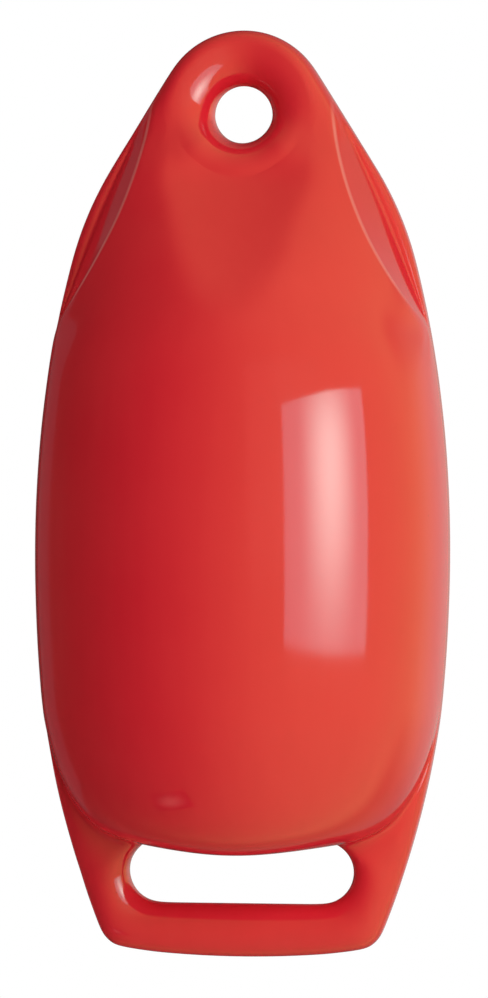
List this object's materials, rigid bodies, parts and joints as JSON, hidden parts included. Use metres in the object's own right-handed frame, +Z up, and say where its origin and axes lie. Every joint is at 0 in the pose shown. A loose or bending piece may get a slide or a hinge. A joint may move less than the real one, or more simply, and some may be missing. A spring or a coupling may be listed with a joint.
{
  "type": "pick-up buoy",
  "caption": "One-piece moulded pick-up buoy: round barrel drawn out to a thick rope eye above and a hand loop below, with a thin fin and scooped sides beside the eye.",
  "frame": {"origin": "centre of the rope eye, on the mould's parting plane", "axes": "+Z up along the buoy's length from the hand loop to the eye, X across the fin, Y along the eye's hole, front faces -Y"},
  "size_m": [0.1524, 0.1524, 0.34],
  "materials": {
    "red_plastic": "glossy moulded red plastic"
  },
  "bodies": {
    "root": {"buoy_body": "red_plastic"}
  },
  "joints": []
}
